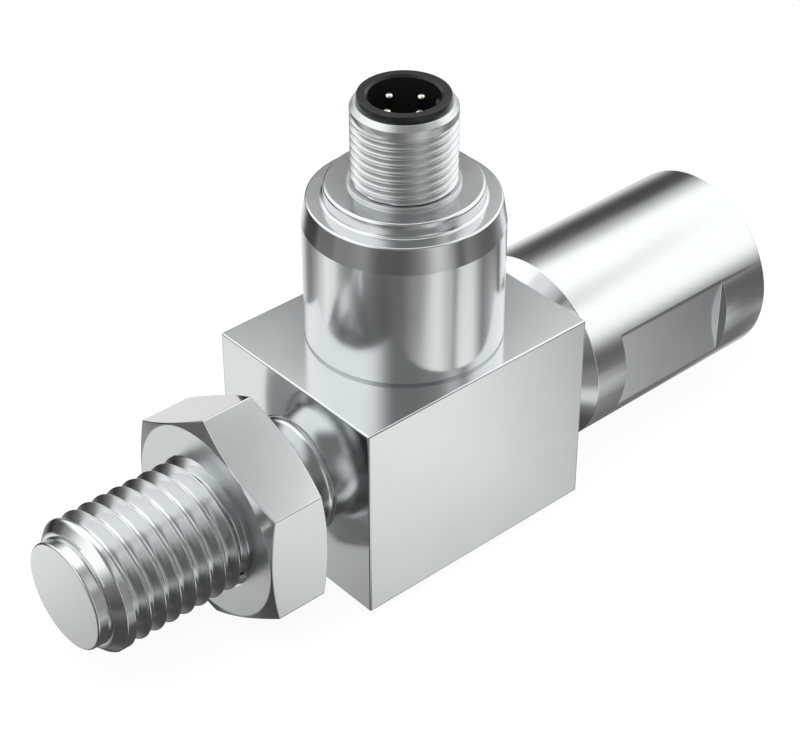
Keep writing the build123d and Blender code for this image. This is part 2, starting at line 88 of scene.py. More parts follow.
class Stand(Enum):
    """Which line a turned piece is turned about, with the matrix that takes it there from the X axis."""

    LOAD_AXIS = Matrix.Translation((0, 0, 12.7))
    CONNECTOR_AXIS = Matrix(((0, 1, 0, 0), (0, 0, 1, 0), (1, 0, 0, 0), (0, 0, 0, 1)))

    def beside(self, x: float, y: float) -> Matrix:
        """The same line, moved sideways."""
        return Matrix.Translation((x, y, 0)) @ self.value


class Lay(Enum):
    """Which way the finest tool marks run, as the stretch of their pattern along each axis."""

    ROUND_LOAD_AXIS = (9.0, 0.5, 0.5)
    ROUND_CONNECTOR = (0.5, 0.5, 9.0)
    ALONG_BLOCK = (0.25, 7.0, 7.0)
    NONE = (1.5, 1.5, 1.5)


class Graph:
    """Writes a node tree in short steps: numbers or sockets go in, and a socket comes out."""

    def __init__(self, tree: bpy.types.NodeTree) -> None:
        """Keeps the tree that the steps write to."""
        self.tree = tree

    def node(
        self, kind: str, inputs: dict[str | int, Value] | None = None, **settings: object
    ) -> bpy.types.Node:
        """Adds one node.

        Args:
            kind: The node's type name.
            inputs: Values or sockets for its inputs, by name or number.
            **settings: Properties to set on it.

        Returns:
            The new node.
        """
        made = self.tree.nodes.new(kind)
        for name, value in settings.items():
            setattr(made, name, value)
        for key, value in (inputs or {}).items():
            self.feed(value, made.inputs[key])
        return made

    def feed(self, value: Value, target: Socket) -> None:
        """Links a socket to the target, or writes a plain value on it."""
        if isinstance(value, Socket):
            self.tree.links.new(value, target)
        else:
            target.default_value = value

    def math(self, operation: str, *values: Value) -> Socket:
        """One step of arithmetic."""
        return self.node("ShaderNodeMath", dict(enumerate(values)), operation=operation).outputs[0]

    def vector(self, operation: str, *values: Value, result: str = "Vector") -> Socket:
        """One step of vector arithmetic."""
        made = self.node("ShaderNodeVectorMath", dict(enumerate(values)), operation=operation)
        return made.outputs[result]

    def scaled(self, vector: Value, factor: Value) -> Socket:
        """A vector times a number."""
        made = self.node("ShaderNodeVectorMath", {0: vector, "Scale": factor}, operation="SCALE")
        return made.outputs["Vector"]

    def spread(
        self,
        value: Value,
        low: Value,
        high: Value,
        to_low: Value = 0.0,
        to_high: Value = 1.0,
        kind: str = "LINEAR",
    ) -> Socket:
        """Maps a value from one range to another, clamped.

        Args:
            value: What is mapped.
            low: The value that gives to_low.
            high: The value that gives to_high.
            to_low: Result at low.
            to_high: Result at high.
            kind: Linear or smooth stepping.

        Returns:
            The mapped value.
        """
        parts = dict(enumerate((value, low, high, to_low, to_high)))
        return self.node("ShaderNodeMapRange", parts, interpolation_type=kind).outputs[0]

    def blend(self, share: Value, first: Value, second: Value, kind: str = "FLOAT") -> Socket:
        """Mixes two numbers, or two colours where kind is RGBA."""
        made = self.node("ShaderNodeMix", {0: share}, data_type=kind)
        ends = [s for s in made.inputs if s.enabled and s.name in ("A", "B")]
        self.feed(first, ends[0])
        self.feed(second, ends[1])
        return next(s for s in made.outputs if s.enabled)

    def noise(self, place: Value, scale: float, detail: float = 3.0) -> Socket:
        """Plain noise from 0 to 1 at a place given in millimetres."""
        inputs = {"Vector": place, "Scale": scale, "Detail": detail}
        return self.node("ShaderNodeTexNoise", inputs).outputs[0]


@dataclass(frozen=True)
class Corner:
    """One corner of a turned outline: its place along the axis, its radius and its rounding."""

    along: float
    radius: float
    round: float = 0.0


@dataclass(frozen=True)
class Outline:
    """The outline of a turned piece, from its corners, with holding rings beside every rounding."""

    corners: tuple[Corner, ...]
    closed: bool = False
    steps: int = 4
    hold: float = 0.03

    def points(self) -> list[Spot]:
        """The outline as (along, radius) points.

        Returns:
            The points, in the order of the corners.
        """
        spots = [Vector((c.along, c.radius)) for c in self.corners]
        found = []
        for k, corner in enumerate(self.corners):
            at_end = not self.closed and k in (0, len(spots) - 1)
            if at_end or corner.round == 0:
                found.append(tuple(spots[k]))
                continue
            before = (spots[k - 1] - spots[k]).normalized()
            after = (spots[(k + 1) % len(spots)] - spots[k]).normalized()
            found += self.rounding(spots[k], before, after, corner.round)
        return found

    def rounding(self, spot: Vector, before: Vector, after: Vector, radius: float) -> list[Spot]:
        """The points of one rounded corner.

        Args:
            spot: The corner itself.
            before: Direction to the corner before it.
            after: Direction to the corner after it.
            radius: Radius of the arc.

        Returns:
            A holding point, the arc's points and a second holding point.
        """
        half = before.angle(after) / 2
        reach = radius / math.tan(half)
        centre = spot + (before + after).normalized() * (radius / math.sin(half))
        first = (spot + before * reach - centre).normalized()
        last = (spot + after * reach - centre).normalized()
        arc = [centre + first.slerp(last, s / self.steps) * radius for s in range(self.steps + 1)]
        ends = [spot + before * (reach + self.hold), spot + after * (reach + self.hold)]
        return [tuple(p) for p in (ends[0], *arc, ends[1])]


@dataclass
class Skin:
    """A surface over rings of points about the X axis, one point of each ring in every direction."""

    directions: Sequence[float]
    rings: list[Ring] = field(default_factory=list)

    @classmethod
    def even(cls, columns: int) -> "Skin":
        """A skin with evenly spaced directions."""
        return cls([2 * math.pi * k / columns for k in range(columns)])

    def add(self, along: float | Sequence[float], radius: float | Sequence[float]) -> None:
        """Adds a ring, whose place and radius are plain numbers or one number for each direction."""
        self.rings.append((along, radius))

    def follow(self, outline: Outline) -> "Skin":
        """Adds a plain ring for each point of an outline, and gives the skin back."""
        for along, radius in outline.points():
            self.add(along, max(radius, 0.0))
        return self

    def into(self, form: Form, closed: bool = False) -> None:
        """Adds the surface to a mesh under construction.

        Args:
            form: The mesh that is being built.
            closed: Whether the last ring joins the first.
        """
        rows = []
        for along, radius in self.rings:
            row = []
            for k, angle in enumerate(self.directions):
                x = along if isinstance(along, (int, float)) else along[k]
                r = radius if isinstance(radius, (int, float)) else radius[k]
                row.append(form.verts.new((x, r * math.cos(angle), r * math.sin(angle))))
            rows.append(row)
        pairs = list(zip(rows, rows[1:])) + ([(rows[-1], rows[0])] if closed else [])
        for first, second in pairs:
            for k in range(len(first)):
                j = (k + 1) % len(first)
                form.faces.new((first[k], second[k], second[j], first[j]))


@dataclass(frozen=True)
class Thread:
    """A right-hand thread about the X axis, on a bar or in a bore, with a cone or a fade at each end."""

    start: float
    end: float
    pitch: float
    crest: float
    root: float
    entry_radius: float
    exit_radius: float
    entry_length: float = 0.0
    exit_length: float = 0.0
    plain_in: float = 0.0
    plain_out: float = 0.0
    fade_in: float = 0.0
    fade_out: float = 0.0
    crest_flat: float = 0.12
    rounding: float = 0.05
    phase: float = 0.0
    steps: int = 20
    columns: int = 192


class ThreadCutter:
    """Cuts threads with one geometry node tree, whose grid is sheared to run along the helix."""

    TINY = 0.0001
    SLOPE = math.tan(math.radians(60))
    KINDS = {float: "NodeSocketFloat", int: "NodeSocketInt"}
    SPARE_TURNS = 2.0
    TURNS_BEFORE = 1.5
    CREST_SHARE = 0.3
    FLANK_SHARE = 0.6

    def __init__(self) -> None:
        """Builds the tree once, for every thread of the part, with an input for each size."""
        self.tree = bpy.data.node_groups.new("helical_thread", "GeometryNodeTree")
        panel = self.tree.interface
        for size in fields(Thread):
            panel.new_socket(self.title(size.name), in_out="INPUT", socket_type=self.KINDS[size.type])
        panel.new_socket("Material", in_out="INPUT", socket_type="NodeSocketMaterial")
        panel.new_socket("Geometry", in_out="OUTPUT", socket_type="NodeSocketGeometry")
        self.g = Graph(self.tree)
        self.given = self.g.node("NodeGroupInput").outputs
        self.write()

    @staticmethod
    def title(size: str) -> str:
        """The name of the input that takes one of Thread's sizes."""
        return size.replace("_", " ").title()

    def write(self) -> None:
        """Writes the tree: a grid, its place on the helix, the weld and the material."""
        g, given = self.g, self.given
        span = g.math("SUBTRACT", given["End"], given["Start"])
        turns = g.math("ADD", g.math("CEIL", g.math("DIVIDE", span, given["Pitch"])), self.SPARE_TURNS)
        rows = g.math("ADD", g.math("MULTIPLY", turns, given["Steps"]), 1.0)
        columns = g.math("ADD", given["Columns"], 1.0)
        grid = g.node("GeometryNodeMeshGrid", {"Vertices X": columns, "Vertices Y": rows})
        index = g.node("GeometryNodeInputIndex").outputs[0]
        column = g.math("FLOOR", g.math("DIVIDE", g.math("ADD", index, 0.5), rows))
        row = g.math("SUBTRACT", index, g.math("MULTIPLY", column, rows))
        turn = g.math("DIVIDE", column, given["Columns"])
        step = g.math("DIVIDE", row, given["Steps"])
        whole = g.math("FLOOR", g.math("ADD", step, self.TINY))
        offset = self.crowded(g.math("SUBTRACT", step, whole))
        shift = g.math("SUBTRACT", given["Phase"], self.TURNS_BEFORE)
        climb = g.math("ADD", g.math("ADD", whole, turn), shift)
        middle = g.math("ADD", given["Start"], g.math("MULTIPLY", climb, given["Pitch"]))
        raw = g.math("ADD", middle, offset)
        along = g.math("MINIMUM", g.math("MAXIMUM", raw, given["Start"]), given["End"])
        half = g.math("MULTIPLY", given["Pitch"], 0.5)
        valley = g.math("ADD", middle, g.math("MULTIPLY", g.math("SIGN", offset), half))
        radius = self.radius(along, offset, self.fade(valley))
        angle = g.math("MULTIPLY", turn, 2 * math.pi)
        y, z = (g.math("MULTIPLY", radius, g.math(kind, angle)) for kind in ("COSINE", "SINE"))
        place = g.node("ShaderNodeCombineXYZ", {0: along, 1: y, 2: z}).outputs[0]
        shape = grid.outputs["Mesh"]
        for kind, inputs in (
            ("SetPosition", {"Position": place}),
            ("MergeByDistance", {"Distance": WELD}),
            ("RealizeInstances", {}),
            ("SetMaterial", {"Material": given["Material"]}),
        ):
            shape = g.node(f"GeometryNode{kind}", {"Geometry": shape, **inputs}).outputs[0]
        g.node("NodeGroupOutput", {0: shape})

    def crowded(self, share: Socket) -> Socket:
        """Spaces the steps of one pitch so that most fall on the crest and in the valley.

        Args:
            share: Share of the pitch, evenly spaced, from valley to valley.

        Returns:
            The distance from the crest's middle in millimetres, negative before it.
        """
        g, given = self.g, self.given
        from_crest = g.math("SUBTRACT", g.math("MULTIPLY", share, 2.0), 1.0)
        even = g.math("ABSOLUTE", from_crest)
        half = g.math("MULTIPLY", given["Pitch"], 0.5)
        depth = g.math("ABSOLUTE", g.math("SUBTRACT", given["Crest"], given["Root"]))
        edge = g.math("MULTIPLY", given["Crest Flat"], 0.5)
        foot = g.math("ADD", edge, g.math("DIVIDE", depth, self.SLOPE))
        crest_zone = g.math("ADD", edge, given["Rounding"])
        root_zone = g.math("SUBTRACT", foot, given["Rounding"])
        flank, valley = g.math("SUBTRACT", root_zone, crest_zone), g.math("SUBTRACT", half, root_zone)
        first = g.spread(even, 0.0, self.CREST_SHARE, 0.0, crest_zone)
        second = g.spread(even, self.CREST_SHARE, self.FLANK_SHARE, 0.0, flank)
        third = g.spread(even, self.FLANK_SHARE, 1.0, 0.0, valley)
        found = g.math("ADD", g.math("ADD", first, second), third)
        return g.math("MULTIPLY", found, g.math("SIGN", from_crest))

    def radius(self, along: Socket, offset: Socket, fade: Socket) -> Socket:
        """The surface's radius: straight flanks between a small crest and a root, within the end cones.

        Args:
            along: Place along the axis.
            offset: Distance from the crest's middle.
            fade: Share of its full depth that the valley beside this place has.

        Returns:
            The radius.
        """
        g, given = self.g, self.given
        crest, root, soft = given["Crest"], given["Root"], given["Rounding"]
        edge = g.math("MULTIPLY", given["Crest Flat"], 0.5)
        beyond = g.math("SUBTRACT", g.math("ABSOLUTE", offset), edge)
        fall = g.math("SMOOTH_MAX", g.math("MULTIPLY", beyond, self.SLOPE), 0.0, soft)
        full = g.math("ABSOLUTE", g.math("SUBTRACT", crest, root))
        deep = g.math("SMOOTH_MIN", fall, full, g.math("MULTIPLY", soft, 2.0))
        side = g.math("SIGN", g.math("SUBTRACT", crest, root))
        found = g.math("SUBTRACT", g.math("MULTIPLY", crest, side), g.math("MULTIPLY", deep, fade))
        for end, sign, name in (("Start", 1.0, "Entry"), ("End", -1.0, "Exit")):
            inward = g.math("MULTIPLY", g.math("SUBTRACT", along, given[end]), sign)
            length = g.math("ADD", given[f"{name} Length"], self.TINY)
            cone = g.spread(inward, 0.0, length, given[f"{name} Radius"], crest)
            found = g.math("MINIMUM", found, g.math("MULTIPLY", cone, side))
        return g.math("MULTIPLY", found, side)

    def fade(self, valley: Socket) -> Socket:
        """The share of its full depth that a valley has, so that the thread starts and ends softly.

        Args:
            valley: The valley's place along the axis.

        Returns:
            0 on the plain lengths, 1 past both fades.
        """
        g, given = self.g, self.given
        shares = []
        for end, sign, name in (("Start", 1.0, "In"), ("End", -1.0, "Out")):
            inward = g.math("MULTIPLY", g.math("SUBTRACT", valley, given[end]), sign)
            plain, fading = given[f"Plain {name}"], given[f"Fade {name}"]
            length = g.math("ADD", fading, self.TINY)
            wanted = g.math("GREATER_THAN", g.math("ADD", plain, fading), self.TINY)
            share = g.spread(g.math("SUBTRACT", inward, plain), 0.0, length)
            shares.append(g.blend(wanted, 1.0, share))
        return g.math("MULTIPLY", *shares)

    def cut(self, thread: Thread, material: bpy.types.Material) -> bpy.types.Mesh:
        """Evaluates the tree for one thread.

        Args:
            thread: The thread's sizes.
            material: Its finish.

        Returns:
            An open tube about the X axis, in millimetres.
        """
        holder = linked("thread_blank", bpy.data.meshes.new("thread_blank"))
        live = holder.modifiers.new("Thread", "NODES")
        live.node_group = self.tree
        values = {self.title(size): value for size, value in vars(thread).items()}
        values["Material"] = material
        for item in self.tree.interface.items_tree:
            if item.in_out == "INPUT":
                live[item.identifier] = values[item.name]
        mesh = baked(holder)
        bpy.data.objects.remove(holder)
        return mesh


def linked(name: str, data: bpy.types.ID) -> bpy.types.Object:
    """A new object that holds the data, in the scene."""
    made = bpy.data.objects.new(name, data)
    bpy.context.scene.collection.objects.link(made)
    return made


def mesh_of(name: str, form: Form) -> bpy.types.Mesh:
    """The mesh of a form, which is freed."""
    mesh = bpy.data.meshes.new(name)
    form.to_mesh(mesh)
    form.free()
    return mesh


def baked(holder: bpy.types.Object) -> bpy.types.Mesh:
    """The plain mesh of an object with its modifiers applied."""
    graph = bpy.context.evaluated_depsgraph_get()
    return bpy.data.meshes.new_from_object(holder.evaluated_get(graph), depsgraph=graph)


@dataclass(frozen=True)
class Steel:
    """A satin stainless finish: fine tool marks, a slightly uneven gloss and faint handling haze."""

    name: str
    lay: Lay
    tint: tuple[float, float, float] = (0.70, 0.725, 0.735)
    roughness: tuple[float, float] = (0.15, 0.19)
    marks: float = 0.00003
    darkest: float = 0.97
    haze_scale: float = 0.13
    SPAN = (0.35, 0.65)

    def material(self) -> bpy.types.Material:
        """Writes the node tree.

        Returns:
            The material.
        """
        made, g, shader, place = new_material(self.name)
        stretched = g.vector("MULTIPLY", place, self.lay.value)
        grain = g.noise(stretched, 1.0, 4.0)
        haze = g.noise(place, self.haze_scale, 2.0)
        darker = tuple(self.darkest * c for c in self.tint)
        cloud = g.spread(haze, *self.SPAN)
        g.feed(g.blend(cloud, (*darker, 1), (*self.tint, 1), "RGBA"), shader.inputs["Base Color"])
        even = g.math("ADD", g.math("MULTIPLY", grain, 0.5), g.math("MULTIPLY", haze, 0.5))
        g.feed(g.spread(even, *self.SPAN, *self.roughness), shader.inputs["Roughness"])
        shader.inputs["Metallic"].default_value = 1.0
        add_bump(g, shader, grain, self.marks)
        return made


@dataclass(frozen=True)
class Moulding:
    """A moulded or coated finish: a base colour that drifts a little, and a fine skin texture."""

    name: str
    colour: tuple[float, float, float]
    drift: float = 0.12
    roughness: tuple[float, float] = (0.35, 0.45)
    grain: float = 6.0
    relief: float = 0.002
    specular: float = 0.5
    SPAN = (0.3, 0.7)

    def material(self) -> bpy.types.Material:
        """Writes the node tree.

        Returns:
            The material.
        """
        made, g, shader, place = new_material(self.name)
        fine = g.noise(place, self.grain, 4.0)
        broad = g.noise(place, 0.3, 2.0)
        low = tuple(c * (1 - self.drift) for c in self.colour)
        high = tuple(min(1.0, c * (1 + self.drift)) for c in self.colour)
        share = g.spread(broad, *self.SPAN)
        g.feed(g.blend(share, (*low, 1), (*high, 1), "RGBA"), shader.inputs["Base Color"])
        g.feed(g.spread(fine, *self.SPAN, *self.roughness), shader.inputs["Roughness"])
        shader.inputs["Specular IOR Level"].default_value = self.specular
        add_bump(g, shader, fine, self.relief)
        return made


class Pattern(Enum):
    """What is printed, etched or woven on a flat inner piece."""

    TRACKS = "tracks"
    GRID = "grid"
    STRIPES = "stripes"


@dataclass(frozen=True)
class Etched:
    """A board, foil or ribbon finish: one colour over another, divided by a fine pattern."""

    name: str
    pattern: Pattern
    ground: tuple[float, float, float]
    figure: tuple[float, float, float]
    pitch: float
    metal: bool = False
    relief: float = 0.02
    FAR = 50.0
    WEAVE = (3.0, 3.0, 1.0)
    SHADE = (0.3, 0.7, 0.85, 1.0)
    GLOSS = (0.5, 0.3)
    TRACK_EDGE = (0.10, 0.06)
    STRIPE_EDGE = (0.26, 0.22)

    def material(self) -> bpy.types.Material:
        """Writes the node tree.

        Returns:
            The material.
        """
        made, g, shader, place = new_material(self.name)
        figure = self.figure_mask(g, place)
        weave = g.noise(g.vector("MULTIPLY", place, self.WEAVE), 2.0, 2.0)
        shade = g.spread(weave, *self.SHADE)
        ground = g.scaled(self.ground, shade)
        g.feed(g.blend(figure, ground, (*self.figure, 1), "RGBA"), shader.inputs["Base Color"])
        g.feed(g.blend(figure, *self.GLOSS), shader.inputs["Roughness"])
        if self.metal:
            g.feed(figure, shader.inputs["Metallic"])
        add_bump(g, shader, figure, self.relief)
        return made

    def figure_mask(self, g: Graph, place: Socket) -> Socket:
        """The share of the figure's colour at a place.

        Args:
            g: The graph being written.
            place: The place, in millimetres.

        Returns:
            0 on the ground and 1 on the figure.
        """
        if self.pattern is Pattern.TRACKS:
            inputs = {"Vector": g.vector("MULTIPLY", place, (1.0, 1.0, 0.0)), "Scale": 1 / self.pitch}
            settings = {"distance": "MANHATTAN", "feature": "DISTANCE_TO_EDGE"}
            cells = g.node("ShaderNodeTexVoronoi", inputs, **settings)
            return g.spread(cells.outputs["Distance"], *self.TRACK_EDGE)
        split = g.node("ShaderNodeSeparateXYZ", {0: place})
        waves = []
        for axis in (0, 1) if self.pattern is Pattern.GRID else (1,):
            along = g.math("ADD", split.outputs[axis], self.FAR)
            phase = g.math("FRACT", g.math("DIVIDE", along, self.pitch))
            waves.append(g.spread(g.math("ABSOLUTE", g.math("SUBTRACT", phase, 0.5)), *self.STRIPE_EDGE))
        return waves[0] if len(waves) == 1 else g.math("MAXIMUM", waves[0], waves[1])


def new_material(name: str) -> tuple[bpy.types.Material, Graph, bpy.types.Node, Socket]:
    """A material with its shader, and the place on the piece in millimetres.

    Args:
        name: The material's name.

    Returns:
        The material, its graph, its shader node and the place.
    """
    made = bpy.data.materials.new(name)
    made.use_nodes = True
    g = Graph(made.node_tree)
    shader = made.node_tree.nodes["Principled BSDF"]
    place = g.scaled(g.node("ShaderNodeTexCoord").outputs["Object"], 1 / MM)
    return made, g, shader, place


def add_bump(g: Graph, shader: bpy.types.Node, height: Socket, depth: float) -> None:
    """Gives a shader a relief.

    Args:
        g: The graph being written.
        shader: The shader node.
        height: The relief, from 0 to 1.
        depth: Its depth in millimetres.
    """
    bump = g.node("ShaderNodeBump", {"Strength": 1.0, "Distance": depth * MM, "Height": height})
    g.feed(bump.outputs[0], shader.inputs["Normal"])


@dataclass
class Workshop:
    """What the sub-assemblies share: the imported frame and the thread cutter."""

    nodes: dict[str, bpy.types.Object]
    cutter: ThreadCutter

    def finish(
        self,
        name: str,
        form: Form,
        stand: Matrix,
        material: bpy.types.Material,
        crease: float = 50.0,
    ) -> bpy.types.Object:
        """Closes a form, turns its faces outwards and makes it an object.

        Args:
            name: The piece's name.
            form: Its mesh under construction, in millimetres.
            stand: The matrix that takes it to its place.
            material: Its finish.
            crease: The angle in degrees past which an edge is sharp.

        Returns:
            The object, with its place in its mesh.
        """
        bmesh.ops.remove_doubles(form, verts=form.verts, dist=WELD)
        bmesh.ops.dissolve_degenerate(form, edges=form.edges, dist=WELD / 10)
        bmesh.ops.recalc_face_normals(form, faces=form.faces)
        mesh = mesh_of(name, form)
        mesh.transform(Matrix.Scale(MM, 4) @ stand)
        mesh.shade_smooth()
        mesh.set_sharp_from_angle(angle=math.radians(crease))
        mesh.materials.clear()
        mesh.materials.append(material)
        return linked(name, mesh)

    def place(self, piece: bpy.types.Object, body: Body, slot: Slot, *replaced: str) -> None:
        """Puts a piece on its body and hides the nodes that it stands for.

        Args:
            piece: The finished piece.
            body: The body that it rides on.
            slot: The record's slot for its finish; not used.
            *replaced: Nodes that it stands for.
        """
        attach(piece, body.value)
        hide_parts(*replaced)
        faces = len(piece.data.polygons)
        LOG.info("%s stands for %s with %d faces", piece.name, ", ".join(replaced), faces)


def lathe(corners: Sequence[Corner], columns: int, closed: bool = True, steps: int = 4) -> Form:
    """A turned form from the corners of its outline.

    Args:
        corners: The outline's corners.
        columns: Facets round the axis.
        closed: Whether the outline closes on itself, and doesn't end on the axis.
        steps: Steps of each rounding.

    Returns:
        The form about the X axis, in millimetres.
    """
    form = bmesh.new()
    Skin.even(columns).follow(Outline(tuple(corners), closed, steps)).into(form, closed)
    bmesh.ops.remove_doubles(form, verts=form.verts, dist=WELD / 10)
    return form


def moved(form: Form, matrix: Matrix) -> Form:
    """The same form, taken to its place."""
    bmesh.ops.transform(form, matrix=matrix, verts=form.verts)
    return form


def box(size: Sequence[float], middle: Sequence[float]) -> Form:
    """A plain box round its middle."""
    form = bmesh.new()
    bmesh.ops.create_cube(form, size=1)
    return moved(form, Matrix.LocRotScale(middle, None, size))


def bore_cutter(steps: Sequence[Spot], end: float, columns: int, stand: Matrix) -> Form:
    """A stepped cutter for a bore.

    Args:
        steps: Where along the axis each radius starts, with the radius.
        end: Where the last one ends.
        columns: Facets round the axis.
        stand: The matrix that takes it to its place.

    Returns:
        The cutter, in millimetres.
    """
    corners = [Corner(steps[0][0], 0.0)]
    for (start, radius), stop in zip(steps, [along for along, _ in steps[1:]] + [end]):
        corners += [Corner(start, radius), Corner(stop, radius)]
    corners.append(Corner(end, 0.0))
    return moved(lathe(corners, columns, closed=False), stand)


def softened(form: Form, width: float, least: float, segments: int = 4) -> Form:
    """Breaks a form's sharp edges.

    Args:
        form: The form, which is changed itself.
        width: Width of the broken edge.
        least: The angle in degrees past which an edge is broken.
        segments: Steps across it.

    Returns:
        The same form.
    """
    bmesh.ops.remove_doubles(form, verts=form.verts, dist=WELD)
    bmesh.ops.recalc_face_normals(form, faces=form.faces)
    inside = [e for e in form.edges if len(e.link_faces) == 2]
    sharp = [e for e in inside if math.degrees(e.calc_face_angle(0)) > least]
    bmesh.ops.bevel(
        form,
        geom=sharp,
        offset=width,
        offset_type="OFFSET",
        segments=segments,
        profile=0.5,
        affect="EDGES",
        clamp_overlap=True,
    )
    return form


def levelled(piece: bpy.types.Object) -> bpy.types.Object:
    """Leans a piece's normals towards its broad faces, so that flats stay flat beside broken edges.

    Args:
        piece: The piece.

    Returns:
        The same object, with its new mesh.
    """
    lean = piece.modifiers.new("Lean", "WEIGHTED_NORMAL")
    lean.weight = 100
    lean.keep_sharp = True
    piece.data = baked(piece)
    piece.modifiers.clear()
    return piece


def bridge_open_rims(form: Form, along: float, within: float = 0.01) -> None:
    """Joins the two open rims that lie in one plane across the X axis.

    Args:
        form: The form, in millimetres.
        along: The plane's place on the axis.
        within: How far from the plane a rim's point may lie.
    """
    rims = [e for e in form.edges if e.is_boundary and all(abs(v.co.x - along) < within for v in e.verts)]
    bmesh.ops.bridge_loops(form, edges=rims)


def carved(form: Form, cutters: Sequence[Form]) -> Form:
    """Takes cutters out of a form.

    Args:
        form: The form, which is freed.
        cutters: What is taken away, freed as well.

    Returns:
        The carved form.
    """
    holders = []
    for k, part in enumerate((form, *cutters)):
        bmesh.ops.remove_doubles(part, verts=part.verts, dist=WELD)
        bmesh.ops.recalc_face_normals(part, faces=part.faces)
        holders.append(linked(f"carving_{k}", mesh_of(f"carving_{k}", part)))
    for tool in holders[1:]:
        cut = holders[0].modifiers.new("Cut", "BOOLEAN")
        cut.object = tool
        cut.operation = "DIFFERENCE"
        cut.solver = "EXACT"
    result = bmesh.new()
    result.from_mesh(baked(holders[0]))
    for holder in holders:
        bpy.data.objects.remove(holder)
    return result


